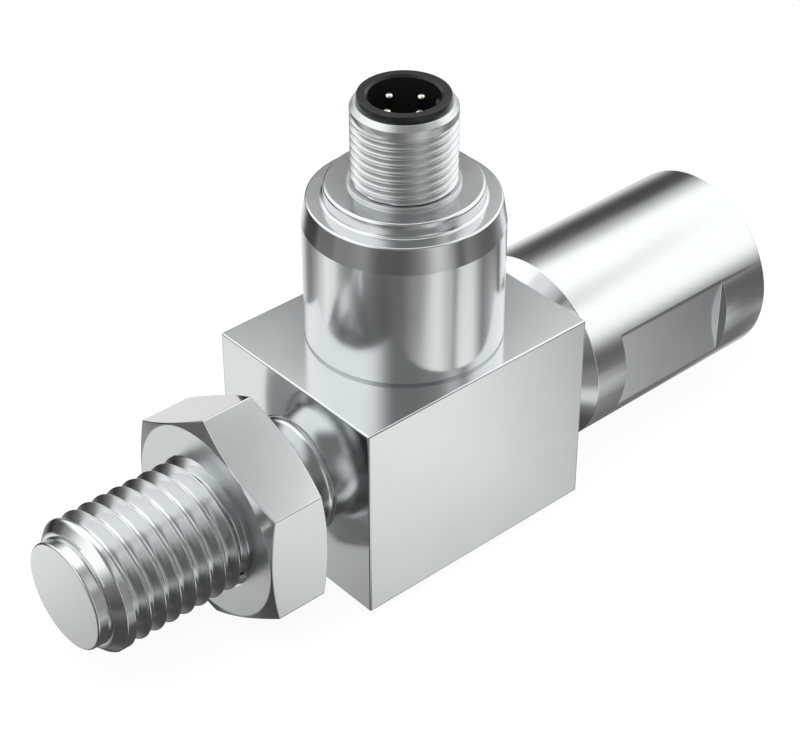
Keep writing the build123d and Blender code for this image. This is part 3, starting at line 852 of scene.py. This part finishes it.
@dataclass
class LoadBody:
    """The bar that carries the force: block, threaded stud and tapped end."""

    shop: Workshop
    length: float = 33.2
    width: float = 26.0
    height: float = 25.4
    edge: float = 0.2
    tip_x: float = -48.7
    pilot_r: float = 6.4
    shoulder_x: float = -47.1
    shoulder_r: float = 6.9
    neck_r: float = 6.6
    neck_x: float = -20.2
    neck_fillet: float = 0.6
    end_x: float = 50.4
    end_r: float = 12.2
    end_edge: float = 0.15
    cone: float = 3.8
    cone_root_r: float = 8.4
    flat_half: float = 11.0
    flat_from: float = 25.2
    flat_to: float = 43.2
    drill_r: float = 7.0
    mouth_r: float = 8.3
    drill_to: float = 25.4
    drill_half_angle: float = 59.0
    rim: float = 0.1
    bore_foot: float = 6.0
    relief_r: float = 4.2
    seat_z: float = 10.5
    cell_r: float = 6.02
    ledge_z: float = 23.38
    spigot_r: float = 8.92
    flat_inset: float = 0.05
    hold: float = 0.1
    flat_hold: float = 0.12
    stud_phase: float = 0.05

    def build(self) -> None:
        """Makes the three pieces of the bar."""
        block_steel = Steel("block_steel", Lay.ALONG_BLOCK, roughness=(0.12, 0.15)).material()
        turned = Steel("bar_steel", Lay.ROUND_LOAD_AXIS).material()
        pieces = (
            self.shop.finish("block", self.block(), Matrix.Identity(4), block_steel),
            self.shop.finish("stud", self.stud(turned), Stand.LOAD_AXIS.value, turned),
            self.shop.finish("tapped_end", self.tapped_end(turned), Stand.LOAD_AXIS.value, turned),
        )
        for piece in pieces:
            self.shop.place(piece, Body.SENSOR, Slot.MACHINED_STEEL, "load_body")

    def block(self) -> Form:
        """The rectangular block with its broken edges and the stepped bore for the sensing cell."""
        form = box((self.length, self.width, self.height), (0, 0, self.height / 2))
        form = softened(form, self.edge, 45, 5)
        broad = [f for f in form.faces if f.calc_area() > self.width * self.height / 2]
        bmesh.ops.inset_individual(form, faces=broad, thickness=self.flat_inset)
        relief = (self.bore_foot, self.relief_r)
        steps = (relief, (self.seat_z, self.cell_r), (self.ledge_z, self.spigot_r))
        bore = bore_cutter(steps, self.height + OVERRUN, 128, Stand.CONNECTOR_AXIS.value)
        return carved(form, [bore])

    def stud(self, material: bpy.types.Material) -> Form:
        """The pilot, the thread with its lead cone, the relief neck and the fillet at the block."""
        thread = Thread(
            start=self.shoulder_x,
            end=self.neck_x,
            pitch=2.0,
            crest=8.0,
            root=6.7,
            entry_radius=self.shoulder_r,
            exit_radius=self.neck_r,
            entry_length=1.1,
            exit_length=1.3,
            plain_in=1.5,
            fade_in=0.7,
            phase=self.stud_phase,
            columns=280,
        )
        form = bmesh.new()
        form.from_mesh(self.shop.cutter.cut(thread, material))
        pilot = (
            Corner(self.tip_x, 0),
            Corner(self.tip_x, self.pilot_r, 0.25),
            Corner(self.shoulder_x, self.pilot_r, 0.08),
            Corner(self.shoulder_x, self.shoulder_r),
        )
        Skin.even(thread.columns).follow(Outline(pilot, steps=8)).into(form)
        left = -self.length / 2
        foot_r = self.neck_r + self.neck_fillet
        neck = (
            Corner(self.neck_x, self.neck_r),
            Corner(left, self.neck_r, self.neck_fillet),
            Corner(left, foot_r),
            Corner(left + OVERRUN, foot_r),
            Corner(left + OVERRUN, 0),
        )
        Skin.even(thread.columns).follow(Outline(neck, steps=10)).into(form)
        return form

    def tapped_end(self, material: bpy.types.Material) -> Form:
        """The round end with its conical shoulder, two spanner flats and the tapped hole."""
        right = self.length / 2
        corner_angle = math.acos(self.flat_half / self.end_r)
        directions = self.snapped(256, corner_angle)
        clipped = [min(self.end_r, self.flat_half / max(abs(math.cos(a)), 0.001)) for a in directions]
        skin = Skin(directions)
        for along, radius in (
            (right - OVERRUN, 0.0),
            (right - OVERRUN, self.cone_root_r),
            (right, self.cone_root_r),
            (right + self.cone, self.end_r),
            (right + self.cone + self.hold, self.end_r),
            (self.flat_from - self.hold, self.end_r),
            (self.flat_from, self.end_r),
            (self.flat_from, clipped),
            (self.flat_from + self.flat_hold, clipped),
            (self.flat_to - self.flat_hold, clipped),
            (self.flat_to, clipped),
        ):
            skin.add(along, radius)
        rim = (
            Corner(self.flat_to, self.end_r),
            Corner(self.end_x, self.end_r, self.end_edge),
            Corner(self.end_x, self.mouth_r + self.rim),
        )
        skin.follow(Outline(rim, steps=6))
        form = bmesh.new()
        skin.into(form)
        form = softened(form, 0.06, 40)
        thread = Thread(
            start=self.drill_to,
            end=self.end_x,
            pitch=2.0,
            crest=self.drill_r,
            root=8.05,
            entry_radius=self.drill_r,
            exit_radius=self.mouth_r,
            exit_length=self.mouth_r - self.drill_r,
            fade_in=2.5,
            crest_flat=0.5,
            steps=14,
            columns=128,
        )
        form.from_mesh(self.shop.cutter.cut(thread, material))
        point = self.drill_r / math.tan(math.radians(self.drill_half_angle))
        tip = Skin.even(thread.columns)
        tip.add(self.drill_to - point, 0.0)
        tip.add(self.drill_to, self.drill_r)
        tip.into(form)
        bmesh.ops.remove_doubles(form, verts=form.verts, dist=WELD)
        bridge_open_rims(form, self.end_x)
        return form

    @staticmethod
    def snapped(columns: int, corner_angle: float) -> list[float]:
        """Even directions, with the nearest ones moved onto the edges of the spanner flats.

        Args:
            columns: Number of directions.
            corner_angle: Angle of a flat's edge from the middle of the flat.

        Returns:
            The directions in radians.
        """
        step = 2 * math.pi / columns
        found = [step * k for k in range(columns)]
        for middle in (0, math.pi):
            for side in (-1, 1):
                edge = (middle + side * corner_angle) % (2 * math.pi)
                found[round(edge / step) % columns] = edge
        return found


@dataclass
class LockNut:
    """The thin hexagon nut on the stud, chamfered and threaded to mate with it."""

    shop: Workshop
    stud_start_x: float = -47.1
    front_x: float = -29.75
    back_x: float = -21.75
    flat_half: float = 12.0
    face_r: float = 11.75
    chamfer_angle: float = 20.0
    sink_r: float = 8.12
    beside_corner: float = 0.55
    faced_from: float = 0.995
    hold: float = 0.12
    rim: float = 0.1
    facets: int = 32

    def build(self) -> None:
        """Makes the nut, whose faced ends are duller than its flats."""
        steel = Steel("nut_steel_finish", Lay.NONE, roughness=(0.09, 0.12)).material()
        faced = Steel("nut_face_finish", Lay.ROUND_LOAD_AXIS, roughness=(0.3, 0.34)).material()
        piece = self.shop.finish("lock_nut_dressed", self.nut(steel), Stand.LOAD_AXIS.value, steel)
        piece = levelled(piece)
        piece.data.materials.append(faced)
        for face in piece.data.polygons:
            face.material_index = int(abs(face.normal.x) > self.faced_from)
        self.shop.place(piece, Body.LOCK_NUT, Slot.NUT_STEEL, "lock_nut")

    def directions(self) -> list[float]:
        """Directions round the nut, closer together beside its six corners.

        Returns:
            The directions in radians.
        """
        side = 60
        found = []
        for corner in range(side // 2, 360, side):
            found += [corner, corner + self.beside_corner]
            found += [corner + side * k / self.facets for k in range(1, self.facets)]
            found.append(corner + side - self.beside_corner)
        return [math.radians(a) for a in found]

    def nut(self, material: bpy.types.Material) -> Form:
        """The nut's outside, its broken edges and its thread."""
        directions = self.directions()
        sixth = math.pi / 3
        reach = [self.flat_half / math.cos((a + sixth / 2) % sixth - sixth / 2) for a in directions]
        slope = math.tan(math.radians(self.chamfer_angle))
        drop = [(r - self.face_r) * slope for r in reach]
        skin = Skin(directions)
        inner = self.sink_r + self.rim
        within = [r - self.hold for r in reach]
        rise = self.hold * slope
        for face_x, inward in ((self.front_x, 1), (self.back_x, -1)):
            rings: list[Ring] = [
                (face_x, inner),
                (face_x, self.face_r - self.hold),
                (face_x, self.face_r),
                ([face_x + inward * (d - rise) for d in drop], within),
                ([face_x + inward * d for d in drop], reach),
                ([face_x + inward * (d + self.hold) for d in drop], reach),
            ]
            skin.rings += rings[::inward]
        form = bmesh.new()
        skin.into(form)
        form = softened(form, 0.06, 12, 3)
        thread = Thread(
            start=self.front_x,
            end=self.back_x,
            pitch=2.0,
            crest=6.9,
            root=8.08,
            entry_radius=self.sink_r,
            exit_radius=self.sink_r,
            entry_length=0.25,
            exit_length=0.25,
            crest_flat=0.38,
            phase=self.mating_phase(2.0),
            steps=14,
        )
        form.from_mesh(self.shop.cutter.cut(thread, material))
        bmesh.ops.remove_doubles(form, verts=form.verts, dist=WELD)
        for face_x in (self.front_x, self.back_x):
            bridge_open_rims(form, face_x)
        return form

    def mating_phase(self, pitch: float) -> float:
        """The shift, in pitches, that puts the nut's roots on the stud's crests."""
        return ((self.stud_start_x - self.front_x) / pitch + LoadBody.stud_phase + 0.5) % 1.0


@dataclass
class Housing:
    """The turret over the bore, with its tapered brow and its filleted ring."""

    shop: Workshop
    block_top: float = 25.4
    wall_r: float = 11.5
    base_bevel: float = 0.3
    brow_z: float = 40.2
    top_z: float = 43.3
    top_r: float = 11.0
    ring_r: float = 9.05
    ring_z: float = 45.1
    brow_edge: float = 0.25
    ring_fillet: float = 0.4
    ring_edge: float = 0.35
    bore_r: float = 5.47
    cavity_r: float = 9.9
    roof_z: float = 41.3
    ledge_z: float = 26.6
    spigot_r: float = 8.9
    spigot_z: float = 23.4
    spigot_bore_r: float = 7.4
    seal_z: float = 42.5
    seal_top_z: float = 43.6
    seal_r: float = 6.15

    def build(self) -> None:
        """Makes the turret."""
        steel = Steel("turret_steel", Lay.ROUND_CONNECTOR).material()
        corners = (
            Corner(self.spigot_z, self.spigot_bore_r),
            Corner(self.spigot_z, self.spigot_r),
            Corner(self.block_top, self.spigot_r),
            Corner(self.block_top, self.wall_r - self.base_bevel, 0.02),
            Corner(self.block_top + self.base_bevel, self.wall_r, 0.05),
            Corner(self.brow_z, self.wall_r, 0.1),
            Corner(self.top_z, self.top_r, self.brow_edge),
            Corner(self.top_z, self.ring_r, self.ring_fillet),
            Corner(self.ring_z, self.ring_r, self.ring_edge),
            Corner(self.ring_z, self.bore_r),
            Corner(self.seal_top_z, self.bore_r),
            Corner(self.seal_top_z, self.seal_r),
            Corner(self.seal_z, self.seal_r),
            Corner(self.seal_z, self.bore_r),
            Corner(self.roof_z, self.bore_r),
            Corner(self.roof_z, self.cavity_r),
            Corner(self.ledge_z, self.cavity_r),
            Corner(self.ledge_z, self.spigot_bore_r),
        )
        form = lathe(corners, 256, steps=8)
        piece = self.shop.finish("turret", form, Stand.CONNECTOR_AXIS.value, steel)
        self.shop.place(piece, Body.SENSOR, Slot.TURNED_STEEL, "sensor_housing")


@dataclass
class ConnectorShell:
    """The threaded barrel of the connector, with its foot and its plain mouth."""

    shop: Workshop
    ring_z: float = 45.1
    foot_r: float = 6.38
    foot_z: float = 45.45
    thread_foot_r: float = 5.4
    crest_r: float = 6.0
    root_r: float = 5.42
    plain_z: float = 54.2
    chamfer_z: float = 54.55
    top_z: float = 55.2
    mouth_r: float = 5.55
    collar_r: float = 5.22
    collar_z: float = 54.1
    bore_r: float = 4.95
    root_z: float = 40.5
    stem_r: float = 5.45

    def build(self) -> None:
        """Makes the barrel."""
        steel = Steel("barrel_steel", Lay.ROUND_CONNECTOR, roughness=(0.3, 0.35)).material()
        thread = Thread(
            start=self.foot_z,
            end=self.plain_z,
            pitch=1.0,
            crest=self.crest_r,
            root=self.root_r,
            entry_radius=self.thread_foot_r,
            exit_radius=self.crest_r,
            entry_length=0.12,
            plain_out=0.2,
            fade_out=0.3,
            crest_flat=0.1,
            rounding=0.09,
            phase=-0.055,
            steps=16,
            columns=176,
        )
        form = bmesh.new()
        form.from_mesh(self.shop.cutter.cut(thread, steel))
        skin = Skin.even(thread.columns)
        corners = (
            Corner(self.plain_z, self.crest_r),
            Corner(self.chamfer_z, self.crest_r, 0.25),
            Corner(self.top_z, self.mouth_r, 0.1),
            Corner(self.top_z, self.collar_r),
            Corner(self.collar_z, self.collar_r),
            Corner(self.collar_z, self.bore_r),
            Corner(self.root_z, self.bore_r),
            Corner(self.root_z, self.stem_r),
            Corner(self.ring_z, self.stem_r),
            Corner(self.ring_z, self.foot_r, 0.03),
            Corner(self.foot_z, self.foot_r, 0.06),
            Corner(self.foot_z, self.thread_foot_r),
        )
        skin.follow(Outline(corners, steps=5))
        skin.into(form)
        piece = self.shop.finish("connector_barrel", form, Stand.CONNECTOR_AXIS.value, steel)
        self.shop.place(piece, Body.SENSOR, Slot.SHELL_STEEL, "connector_shell")


@dataclass
class ContactInsert:
    """The moulded insert with its coding key, and the four contacts that stand in it."""

    shop: Workshop
    bottom_z: float = 39.6
    stem_r: float = 4.33
    step_z: float = 43.2
    body_r: float = 4.93
    collar_z: float = 54.1
    collar_r: float = 5.2
    rim_z: float = 56.0
    cavity_r: float = 4.0
    lip: float = 0.25
    floor_z: float = 46.8
    key_width: float = 1.1
    key_depth: float = 0.6
    key_z: float = 55.2
    key_angle: float = -45.0
    pin_circle_r: float = 2.5
    pin_r: float = 0.5
    pin_top_z: float = 54.9
    pin_tip: float = 0.35
    barrel_r: float = 0.75
    barrel_z: float = 44.7
    cup_z: float = 38.1
    cup_r: float = 0.43
    cup_depth: float = 1.4
    gap: float = 0.02

    def build(self) -> None:
        """Makes the insert and its contacts."""
        black = Moulding(
            "black_insert",
            (0.007, 0.007, 0.008),
            roughness=(0.25, 0.32),
            grain=9.0,
            relief=0.001,
            specular=0.4,
        )
        upright = Matrix.Identity(4)
        insert = self.shop.finish("contact_insert", self.insert(), upright, black.material(), 40)
        self.shop.place(insert, Body.SENSOR, Slot.BLACK_MOULDING, "contact_carrier")
        gold = Steel("contact_gold", Lay.ROUND_CONNECTOR, tint=(0.88, 0.84, 0.73), roughness=(0.12, 0.18))
        finish = gold.material()
        for k, stand in enumerate(self.stands(), 1):
            pin = self.shop.finish(f"contact_{k}", self.pin(), stand, finish)
            self.shop.place(pin, Body.SENSOR, Slot.GOLD_CONTACT, f"contact_pin_{k}")

    def stands(self) -> list[Matrix]:
        """The lines that the four contacts stand on.

        Returns:
            One matrix for each contact.
        """
        reach = self.pin_circle_r
        angles = [math.radians(90 * k) for k in range(4)]
        return [Stand.CONNECTOR_AXIS.beside(reach * math.cos(a), reach * math.sin(a)) for a in angles]

    def insert(self) -> Form:
        """The cup of the insert with its key, and the bores for the contacts."""
        corners = (
            Corner(self.bottom_z, 0),
            Corner(self.bottom_z, self.stem_r),
            Corner(self.step_z, self.stem_r),
            Corner(self.step_z, self.body_r),
            Corner(self.collar_z, self.body_r),
            Corner(self.collar_z, self.collar_r),
            Corner(self.rim_z, self.collar_r, 0.12),
            Corner(self.rim_z, self.cavity_r + self.lip, 0.05),
            Corner(self.rim_z - self.lip, self.cavity_r, 0.05),
            Corner(self.floor_z, self.cavity_r, 0.2),
            Corner(self.floor_z, 0),
        )
        form = bmesh.new()
        Skin.even(160).follow(Outline(corners, steps=4)).into(form)
        moved(form, Stand.CONNECTOR_AXIS.value)
        barrel = (self.bottom_z - OVERRUN, self.barrel_r + self.gap)
        shank = (self.barrel_z, self.pin_r + self.gap)
        top = self.floor_z + OVERRUN
        bores = [bore_cutter((barrel, shank), top, 40, stand) for stand in self.stands()]
        return self.with_key(carved(form, bores))

    def with_key(self, form: Form) -> Form:
        """Adds the coding key, a rounded rib on the cavity's wall.

        Args:
            form: The insert's form.

        Returns:
            The form with the key on it.
        """
        height = self.key_z - self.floor_z
        size = (2 * self.key_depth, self.key_width, height)
        key = softened(box(size, (self.cavity_r, 0, self.floor_z + height / 2)), 0.12, 45, 4)
        turn = Matrix.Rotation(math.radians(self.key_angle), 4, "Z")
        form.from_mesh(mesh_of("key", moved(key, turn)))
        return form

    def pin(self) -> Form:
        """One contact: a round pin with a rounded tip, a thicker barrel and a solder cup."""
        corners = (
            Corner(self.cup_z + self.cup_depth, 0),
            Corner(self.cup_z + self.cup_depth, self.cup_r),
            Corner(self.cup_z, self.cup_r, 0.03),
            Corner(self.cup_z, self.barrel_r, 0.05),
            Corner(self.barrel_z, self.barrel_r, 0.05),
            Corner(self.barrel_z, self.pin_r),
            Corner(self.pin_top_z, self.pin_r, self.pin_tip),
            Corner(self.pin_top_z, 0),
        )
        return lathe(corners, 48, closed=False, steps=8)


@dataclass
class InnerParts:
    """The nodes inside the housing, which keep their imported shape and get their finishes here."""

    shop: Workshop

    def build(self) -> None:
        """Dresses every inner node."""
        foil, film, tinned = (0.7, 0.68, 0.64), (0.72, 0.42, 0.2), (0.78, 0.77, 0.74)
        gauge = Etched("gauge_foil_finish", Pattern.GRID, (0.55, 0.33, 0.1), foil, 0.42, metal=True)
        ribbon = Etched("ribbon_finish", Pattern.STRIPES, (0.42, 0.2, 0.04), film, 0.5, metal=True)
        leads = Steel("tinned_finish", Lay.NONE, tint=tinned, roughness=(0.25, 0.35))
        seals = Moulding("seal_rubber_finish", (0.02, 0.02, 0.021), roughness=(0.55, 0.7), relief=0.004)
        chips = Moulding("chip_finish", (0.03, 0.03, 0.032), roughness=(0.5, 0.6), grain=14.0)
        board = Etched("board_finish", Pattern.TRACKS, (0.02, 0.13, 0.06), (0.05, 0.24, 0.11), 1.7)
        amber = Etched("bonding_board_finish", Pattern.TRACKS, (0.3, 0.2, 0.06), (0.75, 0.55, 0.3), 1.4)
        ceramic = Moulding("capacitor_finish", (0.36, 0.25, 0.16), roughness=(0.4, 0.5))
        socket = Moulding("socket_finish", (0.5, 0.45, 0.34), roughness=(0.4, 0.5))
        white = Moulding("white_moulding_finish", (0.7, 0.69, 0.66), drift=0.05)
        self.dress(seals, "carrier_seal", "shell_seal")
        self.dress(Steel("cell_steel_finish", Lay.ROUND_CONNECTOR, roughness=(0.2, 0.28)), "sensing_cell")
        self.dress(gauge, "strain_gauge")
        self.dress(amber, "bonding_board")
        self.dress(leads, "gauge_leads")
        self.dress(ribbon, "bridge_ribbon")
        self.dress(socket, "ribbon_socket")
        self.dress(white, "board_spacer", "insulating_sleeve")
        self.dress(board, "amplifier_board")
        self.dress(chips, "amplifier_chip", "regulator_chip", "board_resistors")
        self.dress(ceramic, "board_capacitors")
        self.dress(Moulding("wire_brown_finish", (0.13, 0.05, 0.025)), "lead_wire_1")
        self.dress(Moulding("wire_white_finish", (0.72, 0.72, 0.7), drift=0.05), "lead_wire_2")
        self.dress(Moulding("wire_blue_finish", (0.02, 0.08, 0.32)), "lead_wire_3")
        self.dress(Moulding("wire_black_finish", (0.02, 0.02, 0.02)), "lead_wire_4")

    def dress(self, finish: Steel | Moulding | Etched, *names: str) -> None:
        """Gives nodes their finish.

        Args:
            finish: The finish.
            *names: The nodes.
        """
        material = finish.material()
        for name in names:
            for slot in self.shop.nodes[name].material_slots:
                slot.material = material
            LOG.info("%s keeps its shape and takes %s", name, finish.name)


@dataclass(frozen=True)
class Panel:
    """One soft panel of the studio, as steel sees it: its direction, its half sizes and its level."""

    azimuth: float
    elevation: float
    half_width: float
    half_height: float
    softness: float
    level: float


@dataclass(frozen=True)
class Lamp:
    """One broad square lamp, aimed at the object: its place, its side and its power in watts."""

    name: str
    spot: tuple[float, float, float]
    side: float
    power: float


@dataclass
class Studio:
    """The pale floor, the soft light, the panels that steel mirrors, and the camera."""

    floor_z: float = -1.19
    floor_half: float = 1500.0
    floor_grey: float = 0.9
    floor_glow: float = 0.93
    surround: float = 0.8
    aim_z: float = 20.0
    lamp_rows: tuple[Lamp, ...] = (
        Lamp("key_lamp", (-160, -60, 330), 260, 1.1),
        Lamp("fill_lamp", (220, -200, 200), 240, 0.5),
    )
    dome_radius: float = 230.0
    dome_centre_z: float = 15.0
    between: float = 0.09
    panels: tuple[Panel, ...] = (
        Panel(-35.0, 87.7, 51.1, 39.6, 10.0, 1.45),
        Panel(-0.0, -7.8, 60.0, 40.0, 8.8, 1.36),
        Panel(-12.1, 34.9, 32.6, 11.0, 7.9, 1.45),
        Panel(-70.7, -21.2, 60.0, 6.2, 5.9, 0.03),
        Panel(-6.3, -7.4, 59.0, 14.4, 11.3, 0.16),
        Panel(42.7, 12.2, 15.1, 19.3, 11.2, 0.08),
        Panel(45.0, -22.1, 38.3, 18.0, 13.5, 0.90),
        Panel(-57.3, -32.7, 11.2, 13.6, 4.0, 0.84),
        Panel(-153.4, 8.8, 12.9, 16.5, 6.5, 0.17),
        Panel(-34.7, -20.7, 7.7, 21.2, 12.5, 0.13),
        Panel(14.7, -47.1, 36.7, 8.8, 7.1, 0.18),
        Panel(-2.2, -25.4, 36.9, 5.0, 4.0, 0.18),
        Panel(112.9, -14.4, 31.7, 6.5, 4.0, 0.02),
        Panel(160.7, -30.5, 28.2, 12.6, 14.5, 1.45),
        Panel(180.6, -51.6, 36.9, 26.0, 4.0, 0.28),
        Panel(-150.3, -47.2, 58.3, 10.1, 4.0, 1.03),
        Panel(143.4, 39.2, 50.4, 19.0, 10.7, 1.45),
        Panel(48.6, 31.0, 5.0, 10.8, 4.0, 0.17),
        Panel(162.3, 3.7, 32.4, 5.0, 6.9, 1.37),
        Panel(188.2, -50.7, 28.5, 23.5, 12.6, 0.08),
        Panel(-117.3, 44.0, 30.1, 40.0, 12.8, 0.27),
        Panel(121.1, -36.3, 11.3, 5.0, 18.6, 1.44),
        Panel(-95.6, 4.8, 13.0, 24.0, 15.8, 0.88),
        Panel(-119.7, -21.1, 9.9, 13.1, 11.6, 0.32),
        Panel(-35.1, 69.9, 5.1, 8.9, 4.0, 0.61),
        Panel(-83.3, -22.2, 5.0, 9.8, 4.0, 0.66),
        Panel(-58.9, -34.0, 10.6, 6.4, 4.0, 1.05),
        Panel(-6.0, 67.8, 6.1, 15.5, 4.0, 1.45),
        Panel(12.2, 63.9, 7.5, 9.3, 9.4, 1.45),
        Panel(166.0, -20.0, 14.0, 7.0, 4.0, 0.15),
        Panel(139.0, -11.0, 12.0, 7.0, 4.0, 0.15),
    )
    eye: tuple[float, float, float] = (-138.4335, -156.2639, 173.3382)
    right: tuple[float, float, float] = (0.75293657, -0.65807984, -0.00417583)
    up: tuple[float, float, float] = (0.39640845, 0.44846415, 0.80108692)
    back: tuple[float, float, float] = (-0.52530644, -0.60482297, 0.59853347)
    lens: float = 99.847
    shift: tuple[float, float] = (0.01672, 0.00559)

    def build(self) -> None:
        """Sets up the whole studio."""
        scene = bpy.context.scene
        scene.view_settings.view_transform = "Standard"
        self.world()
        self.floor()
        self.dome()
        self.lamps()
        self.camera()
        LOG.info("the studio has %d soft panels", len(self.panels))

    def world(self) -> None:
        """A white surround for the camera and a plain level for everything else."""
        world = bpy.data.worlds.new("studio_surround")
        bpy.context.scene.world = world
        world.use_nodes = True
        g = Graph(world.node_tree)
        ground = world.node_tree.nodes["Background"]
        seen = g.node("ShaderNodeLightPath").outputs["Is Camera Ray"]
        ground.inputs["Color"].default_value = (1, 1, 1, 1)
        g.feed(g.blend(seen, self.surround, 1.0), ground.inputs["Strength"])

    def floor(self) -> None:
        """The plain pale floor, which keeps a faint shadow."""
        form = bmesh.new()
        bmesh.ops.create_grid(form, x_segments=1, y_segments=1, size=self.floor_half * MM)
        moved(form, Matrix.Translation((0, 0, self.floor_z * MM)))
        floor = linked("floor", mesh_of("floor", form))
        material, g, shader, _ = new_material("pale_floor")
        shader.inputs["Base Color"].default_value = (self.floor_grey,) * 3 + (1,)
        shader.inputs["Roughness"].default_value = 0.9
        shader.inputs["Specular IOR Level"].default_value = 0.0
        glow = g.node("ShaderNodeEmission", {"Strength": 1.0})
        seen = g.node("ShaderNodeLightPath").outputs["Is Camera Ray"]
        share = g.math("MULTIPLY", seen, self.floor_glow)
        both = g.node("ShaderNodeMixShader", {0: share, 1: shader.outputs[0], 2: glow.outputs[0]})
        g.feed(both.outputs[0], material.node_tree.nodes["Material Output"].inputs["Surface"])
        floor.data.materials.append(material)
        floor.visible_glossy = False

    def dome(self) -> None:
        """The studio's panels on a dome that only mirror rays see."""
        form = bmesh.new()
        bmesh.ops.create_uvsphere(form, u_segments=64, v_segments=32, radius=self.dome_radius * MM)
        bmesh.ops.reverse_faces(form, faces=form.faces)
        moved(form, Matrix.Translation((0, 0, self.dome_centre_z * MM)))
        dome = linked("studio_dome", mesh_of("studio_dome", form))
        dome.data.materials.append(self.dome_material())
        dome.visible_camera = False
        dome.visible_diffuse = False
        dome.visible_transmission = False
        dome.visible_shadow = False

    def dome_material(self) -> bpy.types.Material:
        """The panels as one glowing material.

        Returns:
            The material.
        """
        material, g, shader, place = new_material("studio_panels")
        centre = (0, 0, self.dome_centre_z)
        aim = g.vector("NORMALIZE", g.vector("SUBTRACT", place, centre))
        level = self.between
        for panel in self.panels:
            az, el = math.radians(panel.azimuth), math.radians(panel.elevation)
            ahead = Vector((math.cos(el) * math.cos(az), math.cos(el) * math.sin(az), math.sin(el)))
            aside = Vector((-math.sin(az), math.cos(az), 0))
            above = ahead.cross(aside)
            axes = (ahead, aside, above)
            x, y, z = (g.vector("DOT_PRODUCT", aim, tuple(a), result="Value") for a in axes)
            across, upright = g.math("ARCTAN2", y, x), g.math("ARCSINE", z)
            share = g.math(
                "MULTIPLY",
                self.inside(g, across, panel.half_width, panel.softness),
                self.inside(g, upright, panel.half_height, panel.softness),
            )
            level = g.blend(share, level, panel.level)
        glow = g.node("ShaderNodeEmission", {"Strength": level})
        g.feed(glow.outputs[0], material.node_tree.nodes["Material Output"].inputs["Surface"])
        material.node_tree.nodes.remove(shader)
        material.cycles.emission_sampling = "NONE"
        return material

    @staticmethod
    def inside(g: Graph, angle: Value, half: float, soft: float) -> Socket:
        """How far inside a panel's half size an angle lies, with a soft edge.

        Args:
            g: The graph being written.
            angle: The angle in radians.
            half: The half size in degrees.
            soft: Half the width of the soft edge in degrees.

        Returns:
            1 inside and 0 outside.
        """
        off = g.math("ABSOLUTE", angle)
        return g.spread(off, math.radians(half + soft), math.radians(half - soft), kind="SMOOTHSTEP")

    def lamps(self) -> None:
        """The lamps, which shape the dull surfaces."""
        for row in self.lamp_rows:
            lamp = bpy.data.lights.new(row.name, "AREA")
            lamp.size = row.side * MM
            lamp.energy = row.power
            holder = linked(row.name, lamp)
            holder.location = Vector(row.spot) * MM
            aim = Vector((0, 0, self.aim_z)) - Vector(row.spot)
            holder.rotation_euler = aim.to_track_quat("-Z", "Y").to_euler()
            holder.visible_glossy = False

    def camera(self) -> None:
        """The camera at the photograph's viewpoint."""
        lens = bpy.data.cameras.new("camera")
        lens.lens = self.lens
        lens.sensor_width = 36.0
        lens.shift_x, lens.shift_y = self.shift
        lens.clip_start = 0.01
        holder = linked("camera", lens)
        turn = Matrix((self.right, self.up, self.back)).transposed().to_4x4()
        holder.matrix_world = Matrix.Translation(Vector(self.eye) * MM) @ turn
        bpy.context.scene.camera = holder


def write_sizes() -> None:
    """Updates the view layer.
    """
    bpy.context.view_layer.update()


def main() -> None:
    """Loads the frame, builds the sub-assemblies in order and sets up the studio."""
    logging.basicConfig(level=logging.INFO, format="%(name)s: %(message)s")
    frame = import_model()
    studio = Studio()
    studio.build()
    shop = Workshop(frame["nodes"], ThreadCutter())
    for builder in (LoadBody, LockNut, Housing, ConnectorShell, ContactInsert, InnerParts):
        builder(shop).build()
    write_sizes()


if __name__ == "__main__":
    main()
